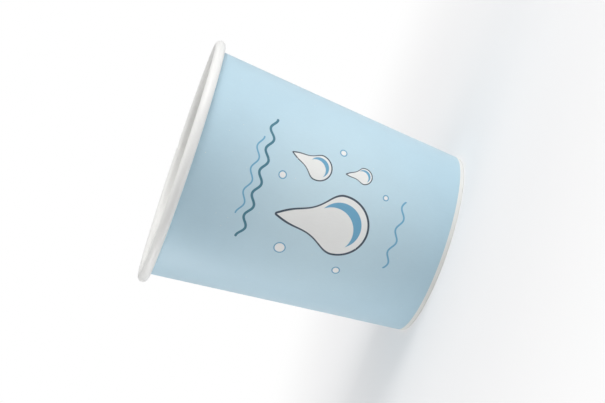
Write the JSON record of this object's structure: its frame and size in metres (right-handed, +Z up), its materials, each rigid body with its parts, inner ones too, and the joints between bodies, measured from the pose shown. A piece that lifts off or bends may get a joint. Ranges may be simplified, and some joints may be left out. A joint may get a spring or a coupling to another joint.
{
  "type": "tapered paper cup",
  "caption": "Tapered disposable paper cup with a hollow rolled rim, a side seam, a raised flat bottom and a folded foot.",
  "frame": {"origin": "on the cup's axis, at the level the foot stands on", "axes": "+Z up along the axis to the open rim, -Y towards the middle of the print, +Y towards the side seam"},
  "size_m": [0.073, 0.073, 0.078],
  "materials": {
    "printed_board": "satin",
    "plain_board": "satin"
  },
  "bodies": {
    "root": {"sidewall": "printed_board", "bottom_disc": "plain_board"}
  },
  "joints": []
}
